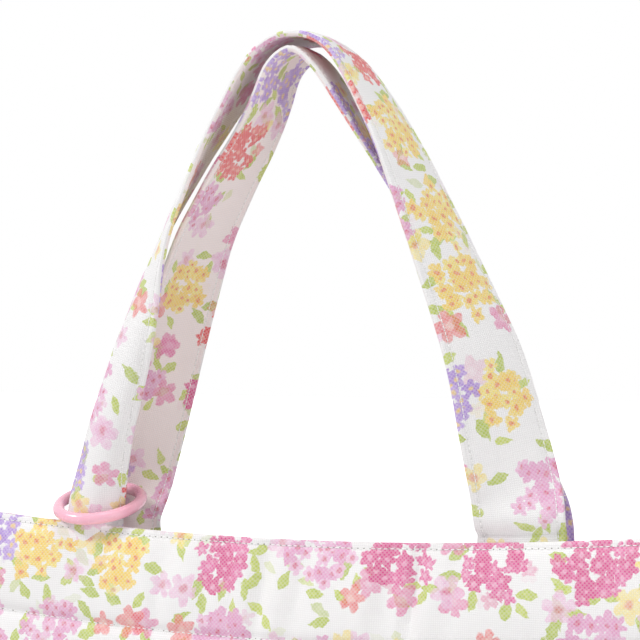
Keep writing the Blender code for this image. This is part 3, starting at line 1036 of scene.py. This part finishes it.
def sectionPlaces():
    # places across the strap, close together at its edges
    edge = [0.0, 0.12, 0.35, 0.7, 1.0, 1.5, 2.0, 2.6, 3.2, 4.0]
    half = [-1 + 2 * e * mm / strap["width"] for e in edge]
    left = half + [half[-1] * (1 - (i + 1) / 7) for i in range(6)]
    return left + [0.0] + [-a for a in reversed(left)]


def strapRay(section, place):
    _, normal, across, curl = section
    angle = curl * place / 2
    return math.cos(angle) * normal + math.sin(angle) * across


def strapPoint(section, place, lift):
    centre, normal, _, curl = section
    radius = strap["width"] / curl
    sag = radius * math.sin(curl / 2) / (curl / 2)
    return centre - sag * normal + (radius + lift) * strapRay(section, place)


def strapWave(s, place, facing):
    # small puckers along the stitch rows, and a slow wave of the whole strap
    pucker = strap["pucker"] * noise.noise(Vector((s / (3.2 * mm), place * 3, facing)))
    pucker *= bump((1 - abs(place)) * strap["width"] / 2 - strap["stitchInset"], 3 * mm)
    return pucker + strap["wave"] * noise.noise(Vector((s / (18 * mm), place, 5 + facing)))


def footBulge(z):
    # just above the rim the strap swells out over the row that holds it, and tucks in under it
    above = z - footZ
    out = strap["bulge"] * bump(above - 6 * mm, 4.5 * mm)
    return out - strap["tuck"] * bump(above - 0.5 * mm, 1.8 * mm)


def bendAtRim(piece):
    # bakes the piece's placement into its mesh; the heights just below and above the rim are worked out but
    # not used
    low, high = footZ - strap["bendBelow"], footZ + strap["bendAbove"]
    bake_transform(piece)


def makeStrap(name, route, facing, material, body):
    # facing is -1 for the front strap and 1 for the back one
    points, length = evenPoints(strapLine(route, facing), strap["stations"])
    top = max(p.z for p in points)
    places = sectionPlaces()
    width = strap["width"]
    u = [(place + 1) / 2 * width for place in places]
    u += [2 * width - a for a in u[-2:0:-1]] + [2 * width]
    loops, uvs, stitchRows = [], [], {}
    for i, point in enumerate(points):
        before, after = points[max(i - 1, 0)], points[min(i + 1, len(points) - 1)]
        share, normal, across = strapSection(point, before, after, facing, top)
        section = (point, normal, across, strapCurl(point.x, share, facing))
        s = length * i / (len(points) - 1)
        bulge = footBulge(point.z) if facing < 0 < point.x else 0
        outer, inner = [], []
        for place in places:
            wave = strapWave(s, place, facing) + bulge
            half = halfThickness(place)
            outer.append(strapPoint(section, place, half + wave))
            inner.append(strapPoint(section, place, -half + wave))
        loops.append(outer + inner[-2:0:-1])
        uvs.append([(a, s) for a in u])
        for sign in (-1, 1):
            place = sign * (1 - 2 * strap["stitchInset"] / width)
            half = halfThickness(place) + 0.03 * mm
            wave = strapWave(s, place, facing) + bulge
            for face in (-1, 1):
                spot = strapPoint(section, place, wave + face * half)
                stitchRows.setdefault((sign, face), []).append((spot, face * strapRay(section, place)))
    piece = addPiece(name, closedLoft(loops, name, uvs), material)
    bendAtRim(piece)
    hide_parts(body, body + "_left_tail", body + "_right_tail")
    return list(stitchRows.values())


frontRows = makeStrap("frontStrap", frontRoute, -1, frontStrapPrint, "front_handle")
backRows = makeStrap("backStrap", backRoute, 1, backStrapPrint, "back_handle")
print("handles ready")


# stitches

def stitchMesh(name, holeShadowStrength):
    # one short raised stitch along X, with its ends dipping into the cloth
    mesh = bmesh.new()
    sides, rings = 6, 7
    loops = []
    for i in range(rings):
        t = i / (rings - 1) * 2 - 1
        thick = stitch["thread"] / 2 * math.sqrt(max(1 - t**6, 0.05))
        rise = 0.10 * mm - 0.26 * mm * t**4
        loop = []
        for j in range(sides):
            turn = 2 * math.pi * j / sides
            y, z = thick * math.cos(turn), rise + thick * math.sin(turn)
            loop.append(mesh.verts.new((t * stitch["length"] / 2, y, z)))
        loops.append(loop)
    joinRows(mesh, loops)
    mesh.faces.new(loops[0])
    mesh.faces.new(loops[-1])
    # the needle hole between this stitch and the next is a flat bead, painted dark as the hole's shadow
    holeShadow = mesh.verts.layers.float.new("holeShadow")
    middle = Matrix.Translation((stitch["pitch"] / 2, 0, 0)) @ Matrix.Diagonal((1, 1, 0.22, 1))
    shape = {"u_segments": 8, "v_segments": 4, "radius": stitch["holeShadow"], "matrix": middle}
    for vert in bmesh.ops.create_uvsphere(mesh, **shape)["verts"]:
        vert[holeShadow] = holeShadowStrength
    return bpy.data.objects.new(name, finishMesh(mesh, name))


def addNode(tree, kind, links=None, **settings):
    node = tree.nodes.new(kind if "Node" in kind else "GeometryNode" + kind)
    for name, value in settings.items():
        setattr(node, name, value)
    for name, value in (links or {}).items():
        if isinstance(value, bpy.types.NodeSocket):
            tree.links.new(value, node.inputs[name])
        else:
            node.inputs[name].default_value = value
    return node


def nodesMesh(name, data, tree, values):
    # runs a geometry tree on a mesh and gives back the plain result
    start = addObject(name + "Start", data)
    modifier = start.modifiers.new("nodes", "NODES")
    modifier.node_group = tree
    for socket in tree.interface.items_tree:
        if socket.name in values:
            modifier[socket.identifier] = values[socket.name]
    bpy.context.view_layer.update()
    graph = bpy.context.evaluated_depsgraph_get()
    made = bpy.data.meshes.new_from_object(start.evaluated_get(graph), depsgraph=graph)
    made.name = name
    bpy.data.objects.remove(start)
    return made


def openTree(name, inputs):
    # a geometry tree with these inputs, and the sockets that give them
    tree = bpy.data.node_groups.new(name, "GeometryNodeTree")
    for label, kind in inputs.items():
        tree.interface.new_socket(label, in_out="INPUT", socket_type="NodeSocket" + kind)
    tree.interface.new_socket("Geometry", in_out="OUTPUT", socket_type="NodeSocketGeometry")
    return tree, addNode(tree, "NodeGroupInput").outputs


def closeTree(tree, made, look):
    # the result as plain geometry in one material
    real = addNode(tree, "RealizeInstances", {"Geometry": made})
    painted = addNode(tree, "SetMaterial", {"Geometry": real.outputs[0], "Material": look})
    result = addNode(tree, "NodeGroupOutput")
    tree.links.new(painted.outputs[0], result.inputs[0])


def stitchTree():
    inputs = {"Geometry": "Geometry", "Pitch": "Float", "Stitch": "Object", "Thread": "Material"}
    tree, given = openTree("stitchRow", inputs)
    path = addNode(tree, "MeshToCurve", {"Mesh": given["Geometry"]})
    links = {"Curve": path.outputs[0], "Length": given["Pitch"]}
    even = addNode(tree, "ResampleCurve", links, mode="LENGTH")
    outward = addNode(tree, "InputNamedAttribute", {"Name": "outward"}, data_type="FLOAT_VECTOR")
    tangent = addNode(tree, "InputTangent")
    first = addNode(tree, "FunctionNodeAlignRotationToVector", {"Vector": tangent.outputs[0]}, axis="X")
    links = {"Rotation": first.outputs[0], "Vector": outward.outputs["Attribute"]}
    second = addNode(tree, "FunctionNodeAlignRotationToVector", links, axis="Z", pivot_axis="X")
    shape = addNode(tree, "ObjectInfo", {"Object": given["Stitch"]})
    links = {"Points": even.outputs[0], "Instance": shape.outputs["Geometry"], "Rotation": second.outputs[0]}
    rows = addNode(tree, "InstanceOnPoints", links)
    closeTree(tree, rows.outputs[0], given["Thread"])
    return tree


def sewRows(name, rows, oneStitch):
    # rows is a list of rows, each a list of (point, outward direction)
    data = bpy.data.meshes.new(name + "Path")
    points, edges, directions = [], [], []
    for row in rows:
        start = len(points)
        points += [p for p, _ in row]
        directions += [d for _, d in row]
        edges += [(start + i, start + i + 1) for i in range(len(row) - 1)]
    data.from_pydata(points, edges, [])
    attribute = data.attributes.new("outward", "FLOAT_VECTOR", "POINT")
    attribute.data.foreach_set("vector", [c for d in directions for c in d])
    values = {"Pitch": stitch["pitch"], "Stitch": oneStitch, "Thread": threadLook}
    return addPiece(name, nodesMesh(name, data, rowTree, values), threadLook)


def bagRow(drop):
    # one row round the whole rim, side by side
    rows = []
    for side in sideOrder:
        row = []
        for along in alongPlaces(side, 1.0 * mm):
            spot = wallPoint(side, along, drop, 0.05 * mm)
            out = wallPoint(side, along, drop, 1.0 * mm) - spot
            row.append((spot, out.normalized()))
        rows.append(row)
    return rows


rowTree = stitchTree()
rimStitch = stitchMesh("rimStitch", stitch["rimHoleShadow"])
strapStitch = stitchMesh("strapStitch", stitch["strapHoleShadow"])
for name, drop in (("rimStitches", bag["edgeRow"]), ("hemStitches", bag["hemDepth"])):
    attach(sewRows(name, bagRow(drop), rimStitch), "bag")
bendAtRim(sewRows("frontStrapStitches", frontRows, strapStitch))
bendAtRim(sewRows("backStrapStitches", backRows, strapStitch))
bpy.data.objects.remove(rimStitch)
bpy.data.objects.remove(strapStitch)
print("stitches sewn")


# yarn guide ring

def ringTree():
    tree, given = openTree("guideRing", {"Radius": "Float", "Bar": "Float", "Plastic": "Material"})
    links = {"Resolution": 144, "Radius": given["Radius"]}
    path = addNode(tree, "CurvePrimitiveCircle", links)
    links = {"Resolution": 32, "Radius": given["Bar"]}
    section = addNode(tree, "CurvePrimitiveCircle", links)
    links = {"Curve": path.outputs[0], "Profile Curve": section.outputs[0]}
    swept = addNode(tree, "CurveToMesh", links)
    closeTree(tree, swept.outputs[0], given["Plastic"])
    return tree


def makeRing():
    low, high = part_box("yarn_guide_ring")
    values = {"Radius": ring["radius"], "Bar": ring["bar"] / 2, "Plastic": ringPlastic}
    data = nodesMesh("guideRing", bpy.data.meshes.new("ringStart"), ringTree(), values)
    data.transform(Matrix.Translation((low + high) / 2) @ Matrix.Rotation(ring["tilt"], 4, "X"))
    data.shade_smooth()
    piece = addPiece("guideRing", data, ringPlastic)
    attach(piece, "ring")
    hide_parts("yarn_guide_ring")


makeRing()
print("ring ready")


# floor, light and camera

def seenRays(wire):
    # 1 for what the camera sees, also in a reflection or through glass
    rays = wire.node("LightPath", out="Is Camera Ray")
    seen = rays
    for kind in ("Is Glossy Ray", "Is Transmission Ray"):
        seen = seen.math("MAXIMUM", rays.other(kind))
    return seen


def makeFloor():
    mesh = bmesh.new()
    bmesh.ops.create_grid(mesh, x_segments=1, y_segments=1, size=6)
    data = finishMesh(mesh, "floor")
    floor = addObject("floor", data)
    floor.location.z = -0.0002
    material, wire, shader = newMaterial("paleFloor")
    plug(shader, Base_Color=(0.93, 0.93, 0.93, 1), Roughness=0.9, Emission_Strength=1.0)
    # the camera sees the floor white, with the object's shadow still on it
    away = wire.node("TexCoord", out="Object").vector("LENGTH", out="Value")
    glow = (away.step(0.35, 1.1) * 0.65 + 0.35) * seenRays(wire)
    plug(shader, Emission_Color=wire.node("CombineColor", {0: glow, 1: glow, 2: glow}))
    data.materials.append(material)


def makeWorld():
    world = bpy.data.worlds.new("studio")
    scene.world = world
    world.use_nodes = True
    wire = Wire(world.node_tree)
    strength = seenRays(wire) * (1 - studio["world"]) + studio["world"]
    plug(world.node_tree.nodes["Background"], Color=(1, 1, 1, 1), Strength=strength)


def makeLamp(name, place, size, power):
    light = bpy.data.lights.new(name, "AREA")
    light.shape = "DISK"
    light.size = size
    light.energy = power
    lamp = addObject(name, light)
    lamp.location = place
    lamp.rotation_euler = (Vector(place) - studio["lampAim"]).to_track_quat("Z", "Y").to_euler()


def makeCamera():
    forward = Vector((-math.sin(studio["yaw"]), math.cos(studio["yaw"]), 0))
    data = bpy.data.cameras.new("photoCamera")
    data.sensor_width = studio["sensor"]
    data.sensor_fit = "HORIZONTAL"
    data.lens = studio["sensor"] * studio["focal"]
    data.clip_start = 0.01
    camera = addObject("photoCamera", data)
    camera.location = studio["aim"] - forward * studio["distance"]
    camera.rotation_euler = forward.to_track_quat("-Z", "Y").to_euler()
    scene.camera = camera


makeFloor()
makeWorld()
for lamp in studio["lamps"]:
    makeLamp(*lamp)
makeCamera()
scene.view_settings.view_transform = "Standard"
print("studio ready")

bpy.context.view_layer.update()
